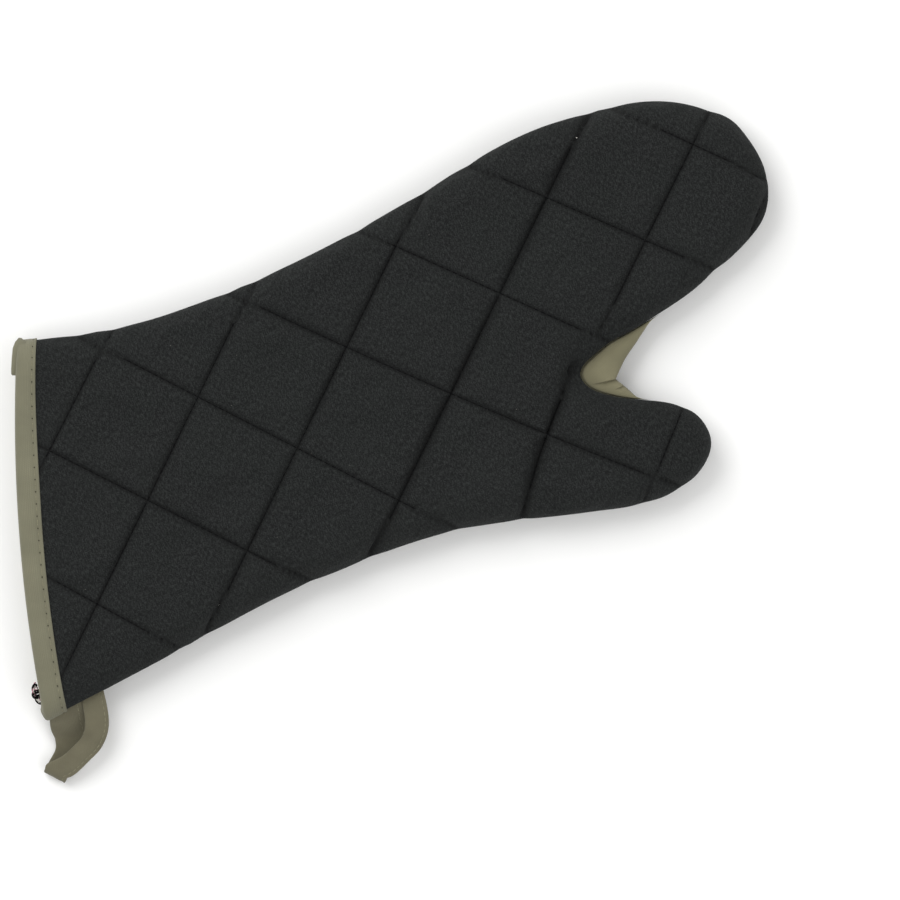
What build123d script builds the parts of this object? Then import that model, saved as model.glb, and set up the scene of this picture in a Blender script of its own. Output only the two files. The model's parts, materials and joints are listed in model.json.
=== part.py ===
from build123d import *
import os
from math import cos, radians, sin, tan

# A long quilted oven mitt, lying flat with its fingers towards +X and its thumb on the -Y side.
#
# Two quilted panels are sewn face to face round their edge. Each panel is a cover, a batting and a
# lining. A folded guard is sewn into the thumb's crotch, a tape binds the cuff's hem, and more of the
# same tape makes the hanging loop at the hem's thumb-side corner.
#
# Cloth bends where a hand bends it: across the knuckles, along the thumb's base, and where the loop is
# sewn on. So each layer is cut into the stretches that stay stiff (hand, fingers, thumb) and the two
# that crumple between them (knuckle, crease). All lengths are in millimetres.

# Layers, from the outside in
THICKNESS = 28.0  # of the whole mitt, lying empty
EDGE_RADIUS = 13.0  # the roll of the panels towards the seam at mid-height
COVER = 1.2
BATTING = 3.8
LINING = 1.0
WALL = COVER + BATTING + LINING
MIDDLE = THICKNESS / 2

# The edge seam: both panels' turned-in allowance, overlocked together
SEAM_THICKNESS = 2.4
SEAM_GROOVE = 1.0  # how far the seam lies below the rolled edge
SEAM_REACH = 11.0  # how far in it ends

# Tapes and threads
BINDING = 0.8
BINDING_WIDTH = 10.5
TAPE_WIDTH = 10.0  # the hanging loop's tape, folded in two lengthways
TAPE_THICKNESS = 1.2
TAPE_TAIL = 9.0  # how far the loop's ends run into the edge seam
THREAD_WIDTH = 0.8
THREAD_DEPTH = 0.4
TOPSTITCH_INSET = 2.5  # from a tape's edge
TAPE_STITCH_INSET = 1.5
ROW_STEP = 78.6  # between rows of quilting, measured along X; the rows run at 45 degrees
FIRST_FALLING_ROW = -6.3  # the least x + y of a row
FIRST_RISING_ROW = 18.7  # the least x - y of a row
ROWS = 7

# Folds
KNUCKLE = (366.0, 44.0)  # a point on the fold
KNUCKLE_HEADING = 8.0  # degrees, from the hand towards the fingers
KNUCKLE_LIMIT = 60.0
CROTCH = (308.0, -25.5)
THUMB_HEADING = -62.0  # from the hand towards the thumb
THUMB_REACH = 22.0  # from the crotch to the fold
THUMB_LIMIT = 50.0
FOLD_CLEARANCE = 0.5
GAP = 0.3  # between a crumpling stretch and the stiff one that moves

FAR = 700.0  # longer than anything here, for cutting blocks

# The mitt's edge, from the cuff round thumb and fingers and back to the cuff: x, y and heading in
# degrees. The first and last stations lie beyond the hem, which trims them.
EDGE = [
    (-40.0, -106.5, 8.0),
    (70.0, -90.0, 9.0),
    (150.0, -78.5, 3.0),
    (222.0, -77.8, -6.0),
    (290.0, -91.0, -11.0),
    (322.0, -96.0, 0.0),
    (350.0, -88.5, 36.0),
    (359.5, -74.0, 88.0),
    (350.0, -54.5, 145.0),
    (319.5, -39.0, 148.0),
    (308.0, -25.5, 92.0),
    (315.0, -18.3, 24.0),
    (349.0, -9.8, 14.0),
    (382.0, 2.0, 24.0),
    (413.0, 18.6, 36.0),
    (429.3, 46.5, 90.0),
    (404.0, 85.5, 146.0),
    (338.0, 99.5, 178.0),
    (262.0, 88.0, 192.0),
    (196.0, 76.4, 187.0),
    (124.0, 72.0, 180.0),
    (60.0, 80.5, 168.0),
    (-40.0, 102.5, 167.0),
]
HEM = [(49.0, 85.0), (18.5, 2.0), (0.5, -101.0)]  # three points of the hem's arc

# The guard's free edge, from the finger side round to the thumb side
WEB_EDGE = [(349.0, -10.5), (334.0, -19.0), (324.0, -29.0), (325.5, -38.0), (331.0, -45.0)]

# The hanging loop: the middle of the tape, and the heading of its width. Both ends are sewn on along one
# line, where the loop swings.
LOOP_HEADING = 8.4  # of that line
LOOP_ENDS = [(10.2, -100.4, MIDDLE), (25.2, -98.2, MIDDLE)]
LOWER_STRAND = [(7.6, -105.6, 7.6, -8.0), (4.0, -112.5, 2.6, -22.0), (0.0, -119.6, 1.2, -27.0)]
UPPER_STRAND = [(1.6, -122.2, 9.0, -44.0), (9.4, -114.6, 12.2, -38.0), (17.6, -106.6, 14.0, -20.0)]
TURN = (-4.4, -127.4, 3.9)  # where the far end folds over
TURN_HEADING = -41.0
TURN_RADIUS = 3.0

OVERLOCK_TAIL = (-0.5, -87.0, MIDDLE)
OVERLOCK_TAIL_LENGTH = 10.0
OVERLOCK_TAIL_RADIUS = 1.3


def direction(heading):
    return Vector(cos(radians(heading)), sin(radians(heading)))


def arc(start, end, tangent):
    """An arc that leaves start along tangent, or a line where it would be all but straight."""
    chord = end - start
    if abs(chord.X * tangent.Y - chord.Y * tangent.X) < 1e-3:
        return Line(start, end)
    return TangentArc(start, end, tangent=tangent)


def biarc(a, b):
    """Two arcs that join two stations of the edge and meet smoothly halfway."""
    p, q = Vector(*a[:2]), Vector(*b[:2])
    s, t = direction(a[2]), direction(b[2])
    v = q - p
    along = v.dot(s + t)
    turn = 2 * (1 - s.dot(t))
    if turn < 1e-9:
        reach = v.dot(v) / (2 * along)
    else:
        reach = ((along**2 + turn * v.dot(v)) ** 0.5 - along) / turn
    before, after = p + s * reach, q - t * reach
    middle = (before + after) / 2
    return [arc(p, middle, s), arc(middle, q, (after - before).normalized())]


def edge_face():
    edges = [edge for a, b in zip(EDGE, EDGE[1:]) for edge in biarc(a, b)]
    edges.append(Line(EDGE[-1][:2], EDGE[0][:2]))
    return make_face(Wire(edges))


PLAN = edge_face()


def inner_plan(depth):
    return offset(PLAN, amount=-depth) if depth else PLAN


def core(depth):
    """Everything deeper than this inside the mitt's surface, running on past the hem."""
    height = THICKNESS - 2 * depth
    block = Pos(0, 0, depth) * extrude(inner_plan(depth), height)
    rims = block.edges().filter_by_position(Axis.Z, depth, depth)
    rims += block.edges().filter_by_position(Axis.Z, depth + height, depth + height)
    return fillet(rims, EDGE_RADIUS - depth)


def skin(outer, inner):
    return core(outer) - core(inner)


def from_hem(inset):
    """Everything further than this from the hem, on the hand's side."""
    arc_of_hem = ThreePointArc(*HEM)
    centre = arc_of_hem.arc_center
    return Pos(centre.X, centre.Y, 0) * Cylinder(arc_of_hem.radius - inset, FAR)


def beyond(point, heading, reach):
    """Everything further than reach past the point, along the heading."""
    centre = Vector(*point) + direction(heading) * (reach + FAR / 2)
    return Pos(centre.X, centre.Y, 0) * Rot(0, 0, heading) * Box(FAR, 2 * FAR, FAR)


def crumple_half_length(limit):
    """Half of a fold's soft stretch, so that the stiff ends pass each other at the limit."""
    return MIDDLE * tan(radians(limit / 2)) + FOLD_CLEARANCE


# Stiff and crumpling stretches
knuckle_half = crumple_half_length(KNUCKLE_LIMIT)
crease_half = crumple_half_length(THUMB_LIMIT)
past_hand = beyond(KNUCKLE, KNUCKLE_HEADING, -knuckle_half)
beside_hand = beyond(CROTCH, THUMB_HEADING, THUMB_REACH - crease_half)
fingers = beyond(KNUCKLE, KNUCKLE_HEADING, knuckle_half)
thumb = beyond(CROTCH, THUMB_HEADING, THUMB_REACH + crease_half)
past_knuckle = beyond(KNUCKLE, KNUCKLE_HEADING, knuckle_half - GAP)
past_crease = beyond(CROTCH, THUMB_HEADING, THUMB_REACH + crease_half - GAP)

nodes = {}


def add(name, shape):
    """Keep a piece that runs the mitt's whole length as its five stretches."""
    nodes[name + "_hand"] = shape - past_hand - beside_hand
    nodes[name + "_fingers"] = shape & fingers
    nodes[name + "_thumb"] = shape & thumb
    nodes[name + "_knuckle"] = (shape & past_hand) - past_knuckle
    nodes[name + "_crease"] = (shape & beside_hand) - past_crease


# The quilted panels. Under the binding the batting is pressed thinner by the tape's thickness.
body = from_hem(BINDING_WIDTH)
hem_band = from_hem(0) - body


def layer(outer, inner, outer_in_band, inner_in_band):
    return (skin(outer, inner) & body) + (skin(outer_in_band, inner_in_band) & hem_band)


def slab(c, heading, side):
    """A thin upright wall along the row of quilting that crosses the X axis at c."""
    return Pos(c / 2, side * c / 2, 0) * Rot(0, 0, heading) * Box(2 * FAR, THREAD_WIDTH, FAR)


falling = [slab(FIRST_FALLING_ROW + i * ROW_STEP, -45, 1) for i in range(ROWS)]
rising = [slab(FIRST_RISING_ROW + i * ROW_STEP, 45, -1) for i in range(ROWS)]
thread_skin = skin(0, THREAD_DEPTH) & body
quilting = thread_skin & (Part() + falling + rising)

cover = layer(0, COVER, BINDING, BINDING + COVER) - quilting
batting = layer(COVER, COVER + BATTING, BINDING + COVER, COVER + BATTING)
lining = layer(COVER + BATTING, WALL, COVER + BATTING, WALL)

seam_low = MIDDLE - SEAM_THICKNESS / 2
seam_high = MIDDLE + SEAM_THICKNESS / 2
halves = {
    "front": Pos(0, 0, seam_high + FAR / 2) * Box(2 * FAR, 2 * FAR, FAR),
    "back": Pos(0, 0, seam_low - FAR / 2) * Box(2 * FAR, 2 * FAR, FAR),
}
for side, half in halves.items():
    add(side + "_cover", cover & half)
    add(side + "_batting", batting & half)
    add(side + "_lining", lining & half)
    add(side + "_quilting", quilting & half)

# The edge seam between the panels, and the two ends of the hanging loop that it holds
loop_line = direction(LOOP_HEADING)
into_mitt = direction(LOOP_HEADING + 90)


def sewn_end(end):
    centre = Vector(*end) + into_mitt * (TAPE_THICKNESS / 2 + GAP + TAPE_TAIL / 2)
    return Pos(*centre) * Rot(0, 0, LOOP_HEADING) * Box(TAPE_WIDTH, TAPE_TAIL, TAPE_THICKNESS)


loop_ends = Part() + [sewn_end(end) for end in LOOP_ENDS]
seam_plan = inner_plan(SEAM_GROOVE) - inner_plan(SEAM_REACH)
seam = Pos(0, 0, seam_low) * extrude(seam_plan, SEAM_THICKNESS) & from_hem(0)
add("edge_seam", seam - loop_ends)
nodes["loop_ends"] = loop_ends

# The web guard, which fills the seam's groove round the crotch and stands out of it
web_inner_side = [WEB_EDGE[-1], (331, -50), (290, -45), (300, 0), (349, -5), WEB_EDGE[0]]
web_plan = make_face(Wire([Spline(*WEB_EDGE), *Polyline(*web_inner_side).edges()]))
web_plan -= inner_plan(SEAM_GROOVE)
nodes["web_guard"] = Pos(0, 0, seam_low) * extrude(web_plan, SEAM_THICKNESS) - past_crease

# The binding: outside, over the hem's edge and inside the cuff
topstitch = BINDING_WIDTH - TOPSTITCH_INSET
stitch_band = from_hem(topstitch - THREAD_WIDTH / 2) - from_hem(topstitch + THREAD_WIDTH / 2)
stitching = skin(0, THREAD_DEPTH) & (stitch_band - loop_ends)
hem_edge = skin(0, WALL + BINDING) & (from_hem(-BINDING) - from_hem(0))
binding = (skin(0, BINDING) & hem_band) + hem_edge + (skin(WALL, WALL + BINDING) & hem_band)
nodes["binding_stitching"] = stitching
nodes["cuff_binding"] = binding - stitching - seam - loop_ends


# The hanging loop
def turn_section(angle):
    """One section of the far end's fold, from under it (-90) to over it (90)."""
    out = direction(TURN_HEADING - 90) * (TURN_RADIUS * cos(radians(angle)))
    return (TURN[0] + out.X, TURN[1] + out.Y, TURN[2] + TURN_RADIUS * sin(radians(angle)), TURN_HEADING)


route = [(*LOOP_ENDS[0], LOOP_HEADING), *LOWER_STRAND]
route += [turn_section(angle) for angle in range(-90, 91, 45)]
route += [*UPPER_STRAND, (*LOOP_ENDS[1], LOOP_HEADING)]


def ribbon(width, thickness, shift=0.0):
    """A strip of the loop's tape, this far to one side of its middle."""
    sections = []
    for i, (x, y, z, heading) in enumerate(route):
        before, after = route[max(i - 1, 0)], route[min(i + 1, len(route) - 1)]
        along = (Vector(*after[:3]) - Vector(*before[:3])).normalized()
        across = direction(heading)
        slant = along.cross(across).length  # a slanting section is wider
        place = Plane((x, y, z), x_dir=across, z_dir=across.cross(along.cross(across)))
        sections.append(place * Pos(shift / slant, 0) * Rectangle(width / slant, thickness))
    return loft(sections, ruled=True)


thread_reach = TAPE_WIDTH / 2 - TAPE_STITCH_INSET
threads = [ribbon(THREAD_WIDTH, TAPE_THICKNESS + 0.3, side * thread_reach) for side in (-1, 1)]
nodes["loop_stitching"] = Part() + threads
nodes["hanging_loop"] = ribbon(TAPE_WIDTH, TAPE_THICKNESS) - threads

# The overlock tail, a tuft of thread that hangs from the hem
tuft = Rot(90, 0, 0) * Cylinder(OVERLOCK_TAIL_RADIUS, OVERLOCK_TAIL_LENGTH)
tuft = fillet(tuft.edges(), OVERLOCK_TAIL_RADIUS * 0.9)
nodes["overlock_tail"] = Pos(*OVERLOCK_TAIL) * tuft - binding

# The origin is on the resting surface, under the middle of the whole mitt
boxes = [shape.bounding_box() for shape in nodes.values()]
low = Vector(*(min(getattr(box.min, axis) for box in boxes) for axis in "XYZ"))
high = Vector(*(max(getattr(box.max, axis) for box in boxes) for axis in "XYZ"))
home = Pos(-(low.X + high.X) / 2, -(low.Y + high.Y) / 2, -low.Z)

os.makedirs("parts", exist_ok=True)
for name, shape in nodes.items():
    export_step(home * shape, f"parts/{name}.step")
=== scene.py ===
import json
from collections import namedtuple
from math import cos, pi, radians, sin, sqrt

import bpy
import numpy as np
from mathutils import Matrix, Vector
from mathutils.geometry import delaunay_2d_cdt
from mathutils.kdtree import KDTree


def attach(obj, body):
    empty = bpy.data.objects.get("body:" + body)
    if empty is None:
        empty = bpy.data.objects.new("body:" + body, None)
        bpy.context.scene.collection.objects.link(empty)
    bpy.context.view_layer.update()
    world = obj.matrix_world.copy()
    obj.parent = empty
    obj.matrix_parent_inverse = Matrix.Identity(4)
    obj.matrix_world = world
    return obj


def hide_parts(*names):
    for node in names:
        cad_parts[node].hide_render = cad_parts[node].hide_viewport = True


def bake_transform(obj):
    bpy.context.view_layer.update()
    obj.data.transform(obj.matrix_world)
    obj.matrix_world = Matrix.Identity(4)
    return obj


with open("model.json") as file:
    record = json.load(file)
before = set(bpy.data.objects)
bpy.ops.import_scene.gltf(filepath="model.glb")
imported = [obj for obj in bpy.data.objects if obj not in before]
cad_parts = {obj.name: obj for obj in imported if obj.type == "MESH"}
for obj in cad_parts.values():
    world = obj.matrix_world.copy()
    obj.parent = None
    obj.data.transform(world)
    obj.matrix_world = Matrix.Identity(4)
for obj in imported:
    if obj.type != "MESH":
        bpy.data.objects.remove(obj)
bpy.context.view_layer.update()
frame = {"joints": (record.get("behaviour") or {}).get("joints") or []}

# A long quilted oven mitt. Shapes are worked out in millimetres in the mitt's own frame, where x runs
# from the hem along the grain to the fingertips and y from the thumb's side across. HOME moves them to
# the row's frame.
MM = 0.001
KNUCKLE = (366.0, 44.0)
CROTCH = (308.0, -25.5)
THUMB_HEADING = -62.0
fold = next(joint["pos_m"] for joint in frame["joints"] if joint["name"] == "finger_fold")
HOME = np.array([fold[0] / MM - KNUCKLE[0], fold[1] / MM - KNUCKLE[1], 0.0])
MIDDLE = fold[2] / MM  # the height of the edge seam

# Cross-section
ROLL = 15.0  # how far in from the seam the panel has rolled flat
CROWN = 12.4  # the front panel's height over the seam
# For each side its height at the hem and further in, and how far in it starts and ends to rise
CROWNS = {1: (9.2, CROWN, 4, 110), -1: (12.5, 13.3, 8, 40)}
COVER = 1.2
BATTING = 3.8
LINING = 1.0
WALL = COVER + BATTING + LINING

# Quilting
#
# The rows run at about 45 degrees: on a falling row x + y is nearly constant and on a rising one
# x - y is. A row's place is that sum where the other one is ROW_MIDDLE, turn and bow say how it
# drifts over ROW_REACH, and it runs where the other sum is between low and high. Its depth is how
# far its stitches pull the cloth in.
Row = namedtuple("Row", "slope place depth turn bow low high", defaults=(0.0, 0.0, -200.0, 700.0))
ROW_MIDDLE = 200.0
ROW_REACH = 100.0
ROWS = [
    Row(-1, -16.8, 2.4, -5.0),
    Row(-1, 68.4, 3.0, -1.4),
    Row(-1, 148.7, 2.8, -2.2),
    Row(-1, 229.3, 2.9, 3.3, 1.1),
    Row(-1, 308.5, 2.6, 3.0),
    Row(-1, 382.8, 2.7, 4.5),
    Row(-1, 461.6, 2.4, 2.0),
    Row(1, 20.8, 2.6, 2.0),
    Row(1, 96.0, 2.9),
    Row(1, 174.8, 3.2),
    Row(1, 255.4, 4.4),
    Row(1, 334.2, 4.8, -19.0, 12.0, high=287.0),
    Row(1, 330.3, 3.0, 0.6, low=314.0),
    Row(1, 413.7, 2.4, -7.0),
]
FLANKS = [0.8, 1.9]  # how far beside a row its pressed-in cloth has further points
PAINTED_CREASE_SHADE = 0.8  # half the width of the painted shade along a row
PAINTED_FLANK_SHADE = 3.0  # and of the wider painted shade beside a deep row
EDGE_DENT = 0.45  # how far a row's end pulls the mitt's edge in
STITCH = 3.1
STITCH_STEP = 3.7
STITCH_MARGIN = 3.2  # from the end of a row to its first stitch's middle
STITCH_SIDES = 6
THREAD = 0.24  # the quilting thread's radius

# Cuff
BINDING_WIDTH = 10.5
BINDING_NARROWING = 0.2  # towards the finger side
TOPSTITCH_INSET = 8.4
RIPPLE_STEP = 5.3  # between the binding's small ripples
HOLE_STEP = 6.1  # between needle holes along the binding

# Outline, from the hem round thumb and fingers to the hem: x, y and the way it runs there
EDGE = [
    (-40.0, -106.5, 8.0), (70.0, -90.0, 9.0), (150.0, -78.5, 3.0),
    (222.0, -77.8, -6.0), (290.0, -91.0, -11.0), (322.0, -96.0, 0.0),
    (350.0, -88.5, 36.0), (359.5, -74.0, 88.0), (350.0, -54.5, 145.0),
    (319.5, -39.0, 148.0), (308.0, -25.5, 92.0), (315.0, -18.3, 24.0),
    (349.0, -9.8, 14.0), (382.0, 0.0, 24.0), (415.5, 15.4, 36.0),
    (428.6, 39.0, 86.0), (423.6, 66.5, 110.0), (404.0, 85.5, 147.0),
    (338.0, 99.5, 178.0), (262.0, 88.0, 192.0), (196.0, 76.4, 187.0),
    (124.0, 72.0, 180.0), (60.0, 80.5, 168.0), (-40.0, 102.5, 167.0),
]
EDGE_FULLNESS = 1.05  # how far the edge swings out between these points
HEM = [(49.0, 85.0), (20.8, 2.0), (-0.4, -101.0)]  # three points of its arc

# Net of points
MESH_STEP = 2.5
MESH_BOX = (-5, 432, -100, 102)  # from x to x and from y to y
ROLL_ANGLES = [0, 4, 9, 16, 24, 33, 43, 54, 65, 75, 84]  # rows of points on the panel's rolled edge
FINE_CROTCH = 22.0  # how far round the crotch the edge has finer points
FINE_ROW = 4.0  # and how far beside the end of a row
HEM_TURN = 16.0  # how far from the hem the rolled edge's rows turn to run along it

random = np.random.RandomState(7)


# ---- plan

def direction(heading):
    return np.array([cos(radians(heading)), sin(radians(heading))])


def length(v):
    return np.linalg.norm(v, axis=-1)


def unit(v):
    return v / np.maximum(length(v)[..., None], 1e-9)


def circle_through(a, b, c):
    a, b, c = (np.array(p) for p in (a, b, c))
    m = 2 * np.array([b - a, c - a])
    centre = np.linalg.solve(m, [b @ b - a @ a, c @ c - a @ a])
    return centre, length(a - centre)


HEM_CENTRE, HEM_RADIUS = circle_through(*HEM)


def hem_inset(p):
    """How far points lie from the hem, on the hand's side."""
    return HEM_RADIUS - length(p[..., :2] - HEM_CENTRE)


def smoothstep(x, low, high):
    t = np.clip((x - low) / (high - low), 0, 1)
    return t * t * (3 - 2 * t)


def grid_faces(rows, columns, wrap_rows=False, wrap_columns=False):
    result = []
    for r in range(rows - (not wrap_rows)):
        for c in range(columns - (not wrap_columns)):
            r2, c2 = (r + 1) % rows, (c + 1) % columns
            result.append((r * columns + c, r * columns + c2, r2 * columns + c2, r2 * columns + c))
    return result


def bell(x, width, power=2):
    return np.exp(-((x / width) ** power))


def interpolate(at, places, values):
    """Rows of values read off at further places along them."""
    return np.stack([np.interp(at, places, column) for column in values.T], axis=1)


def distances(points, spacing=1.0):
    """How far along a polyline its points are, counted in spacings."""
    return np.concatenate([[0], np.cumsum(length(np.diff(points, axis=0)) / spacing)])


def resample(points, spacing):
    """Points this far apart along a polyline. The spacing can be one number for each of its steps."""
    count = distances(points, spacing)
    return interpolate(np.linspace(0, count[-1], int(round(count[-1])) + 1), count, points)


def tangents(points):
    return unit(np.gradient(points, axis=0))


def left_of(line):
    """The ways to the left of a line, which for the mitt's edge is inwards."""
    along = tangents(line)
    return np.stack([-along[:, 1], along[:, 0]], axis=1)


def tree_of(points):
    tree = KDTree(len(points))
    for i, p in enumerate(points):
        tree.insert((p[0], p[1], 0), i)
    tree.balance()
    return tree


def inside(border, p):
    """Whether plan points lie inside a closed border."""
    x, y = p[:, 0], p[:, 1]
    hit = np.zeros(len(p), bool)
    for a, b in zip(border, np.roll(border, -1, axis=0)):
        if a[1] != b[1]:
            hit ^= ((a[1] > y) != (b[1] > y)) & (x < (b[0] - a[0]) * (y - a[1]) / (b[1] - a[1]) + a[0])
    return hit


def row_place(row, other):
    drift = (np.asarray(other) - ROW_MIDDLE) / ROW_REACH
    return row.place + row.turn * drift + row.bow * drift**2


def row_distance(p):
    """Each point's distance to the nearest row of quilting, and that row's depth."""
    x, y = p[:, 0], p[:, 1]
    best, depth = np.full(len(p), 1e9), np.zeros(len(p))
    for row in ROWS:
        across, along = x - row.slope * y, x + row.slope * y
        away = np.abs(across - row_place(row, along)) / sqrt(2)
        past = np.maximum(np.maximum(row.low - along, along - row.high), 0) / sqrt(2)
        away = np.hypot(away, past)
        depth = np.where(away < best, row.depth, depth)
        best = np.minimum(best, away)
    return best, depth


def row_line(row, spacing):
    """Points along a row of quilting, right across the mitt."""
    other = np.arange(max(row.low, -160.0), min(row.high, 620.0), spacing * sqrt(2))
    place = row_place(row, other)
    return np.stack([(other + place) / 2, row.slope * (other - place) / 2], axis=1)


def edge_line():
    """The mitt's edge from hem corner to hem corner, pulled in a little where rows of quilting end."""
    u = np.linspace(0, 1, 60, endpoint=False)[:, None]
    runs = []
    for a, b in zip(EDGE, EDGE[1:]):
        p, q = np.array(a[:2]), np.array(b[:2])
        reach = length(q - p) * EDGE_FULLNESS
        s, t = direction(a[2]) * reach, direction(b[2]) * reach
        run = (2 * u**3 - 3 * u**2 + 1) * p + (u**3 - 2 * u**2 + u) * s
        runs.append(run + (3 * u**2 - 2 * u**3) * q + (u**3 - u**2) * t)
    line = np.vstack(runs)
    line = line[hem_inset(line) >= 0]
    middles = (line[1:] + line[:-1]) / 2
    near_row = bell(row_distance(middles)[0], FINE_ROW)
    near = np.maximum(bell(length(middles - CROTCH), FINE_CROTCH), near_row)
    line = resample(line, MESH_STEP * (1 - 0.5 * near))
    away, _ = row_distance(line)
    calm = smoothstep(hem_inset(line), 12, 30) * smoothstep(length(line - CROTCH), 12, 30)
    return line + left_of(line) * (EDGE_DENT * bell(away, 4.5) * calm)[:, None]


edge = edge_line()
edge_count = len(edge)
edge_tree = tree_of(resample(edge, MESH_STEP / 4))


def edge_distance(p):
    """Each point's distance to the mitt's edge, and the way out to it."""
    found = [edge_tree.find((x, y, 0)) for x, y in p]
    nearest = np.array([f[0][:2] for f in found])
    away = np.array([f[2] for f in found])
    return away, unit(nearest - p)


def crown(side, p):
    at_hem, full, low, high = CROWNS[side]
    return at_hem + (full - at_hem) * smoothstep(hem_inset(p), low, high)


def panel_point(side, p, away, out):
    """Where plan points lie on a panel with no quilting, and the way out of it."""
    high = crown(side, p)
    inner = np.clip(1 - away / ROLL, 0, 1)
    sine = np.sqrt(np.maximum(1 - inner**2, 0))
    z = MIDDLE + side * (high * sine + 0.12)
    normal = np.concatenate([out * (inner * high)[:, None], (side * sine * ROLL)[:, None]], axis=1)
    return np.concatenate([p, z[:, None]], axis=1), unit(normal), high * sine


def valley(side, p, height):
    """How deep the quilting and the edge seam pull the cloth in: a sharp crease in a soft hollow."""
    away, deep = row_distance(p)
    wander = 1 + 0.25 * np.sin(p[:, 0] / 31 + 2 * side) * np.sin(p[:, 1] / 23)
    crease = 0.55 * bell(away, 1.2, 1.1) * smoothstep(height, 1.5, 5)
    hollow = 0.45 * bell(away, 6.0, 1.4) * smoothstep(height, 0.5, 8.5)
    rows = deep * wander * (crease + hollow) * smoothstep(hem_inset(p), 9, 20)
    seam = 1.2 * bell(height, 1.3, 1.5)
    return rows * (0.6 if side < 0 else 1) + seam


# ---- the panel's net of points

def ways_in():
    """The ways in from the edge's points, turned along the hem near the hem."""
    inward = left_of(edge)
    for end, sign in ((0, 1), (-1, -1)):
        radius = edge[end] - HEM_CENTRE
        hemward = unit(np.array([-radius[1], radius[0]]))
        hemward = hemward * sign * np.sign(hemward[1])
        weight = bell(length(edge - edge[end]), HEM_TURN)[:, None]
        inward = unit(inward * (1 - weight) + hemward * weight)
    return inward


def hem_arc(start, end):
    """Points along the hem between two of its points."""
    angles = [np.arctan2(*(p - HEM_CENTRE)[::-1]) % (2 * pi) for p in (start, end)]
    steps = int(HEM_RADIUS * abs(angles[1] - angles[0]) / MESH_STEP)
    sweep = np.linspace(angles[0], angles[1], steps + 1)[1:-1]
    return HEM_CENTRE + HEM_RADIUS * np.stack([np.cos(sweep), np.sin(sweep)], axis=1)


def quilted_points(clear):
    """Points along the rows of quilting, the links between them, and points close beside the rows."""
    on_rows, links, beside = [], [], []
    for row in ROWS:
        line = row_line(row, MESH_STEP)
        keep = clear(line)
        for i in np.nonzero(keep)[0]:
            if i and keep[i - 1]:
                links.append((len(on_rows) - 1, len(on_rows)))
            on_rows.append(line[i])
        for number, flank in enumerate(FLANKS):
            for across in (-flank, flank):
                shift = np.array([1, -row.slope]) * across / sqrt(2)
                shift = shift + np.array([1, row.slope]) * MESH_STEP * 0.5 * (number % 2) / sqrt(2)
                moved = line + shift
                beside.append(moved[clear(moved) & (row_distance(moved)[0] > 0.93 * flank)])
    return on_rows, links, beside


def grid_points(clear):
    """An even grid of points in the diamonds between the rows."""
    left, right, low, high = MESH_BOX
    grid = []
    for j, y in enumerate(np.arange(low, high, MESH_STEP * sqrt(3) / 2)):
        grid += [(x, y) for x in np.arange(left, right, MESH_STEP) + (j % 2) * MESH_STEP / 2]
    grid = np.array(grid)
    grid = grid[row_distance(grid)[0] > FLANKS[-1] + 0.5 * MESH_STEP]
    return grid[clear(grid)]


def plan_net():
    """The panel's points and faces in plan: rows beside the edge, then triangles in the middle."""
    inward = ways_in()
    rows = [edge + inward * inset for inset in insets]
    inner = rows[-1]
    border = np.vstack([inner, hem_arc(inner[-1], inner[0])])
    border_tree = tree_of(border)

    def clear(p):
        """Whether points are inside the border and not too near it."""
        apart = [border_tree.find((x, y, 0))[2] > MESH_STEP * 0.55 for x, y in p]
        return inside(border, p) & np.array(apart)

    on_rows, links, beside = quilted_points(clear)
    base = len(border)
    loose = np.vstack([border, np.array(on_rows), *beside, grid_points(clear)])
    links = [(i, (i + 1) % base) for i in range(base)] + [(base + a, base + b) for a, b in links]
    net = delaunay_2d_cdt([Vector(p) for p in loose], links, [list(range(base))], 1, 1e-4)
    found, _, triangles, origins, *_ = net
    plan = np.vstack(rows)
    lookup, added = {}, []
    for i, source in enumerate(origins):
        shared = next((s for s in source if s < edge_count), None)
        if shared is None:
            lookup[i] = len(plan) + len(added)
            added.append((found[i].x, found[i].y))
        else:
            lookup[i] = len(plan) - edge_count + shared
    triangles = [tuple(lookup[i] for i in face) for face in triangles]
    return np.vstack([plan, added]), grid_faces(len(rows), edge_count) + triangles


insets = [ROLL * (1 - cos(radians(angle))) for angle in ROLL_ANGLES]
plan, faces = plan_net()
band = edge_count * len(insets)  # the rows beside the edge are the net's first points
plan_away, plan_out = edge_distance(plan)
outward = -left_of(edge)
plan_away[:band] = np.repeat(insets, edge_count)
plan_out[:band] = np.tile(outward, (len(insets), 1))

# The cloth's own coordinates, flat as it was cut
flat = plan.copy()
inner_row = plan[band - edge_count : band]
run = np.array([radians(ROLL_ANGLES[-1] - a) * (ROLL + CROWN) / 2 for a in ROLL_ANGLES])
flat[:band] = np.tile(inner_row, (len(insets), 1)) + plan_out[:band] * np.repeat(run, edge_count)[:, None]


# ---- meshes

def new_object(name, points, polygons, uv=None, normals=None):
    """A smooth mesh from points in millimetres in the mitt's own frame."""
    mesh = bpy.data.meshes.new(name)
    placed = (np.asarray(points) + HOME) * MM
    mesh.from_pydata(placed.tolist(), [], [list(map(int, f)) for f in polygons])
    mesh.polygons.foreach_set("use_smooth", [True] * len(mesh.polygons))
    if uv is not None:
        layer = mesh.uv_layers.new(name="cloth")
        corner = np.zeros(len(mesh.loops), int)
        mesh.loops.foreach_get("vertex_index", corner)
        layer.data.foreach_set("uv", (np.asarray(uv)[corner] * MM).ravel())
    if normals is not None:
        mesh.normals_split_custom_set_from_vertices(normals.tolist())
    obj = bpy.data.objects.new(name, mesh)
    bpy.context.scene.collection.objects.link(obj)
    return obj


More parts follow.
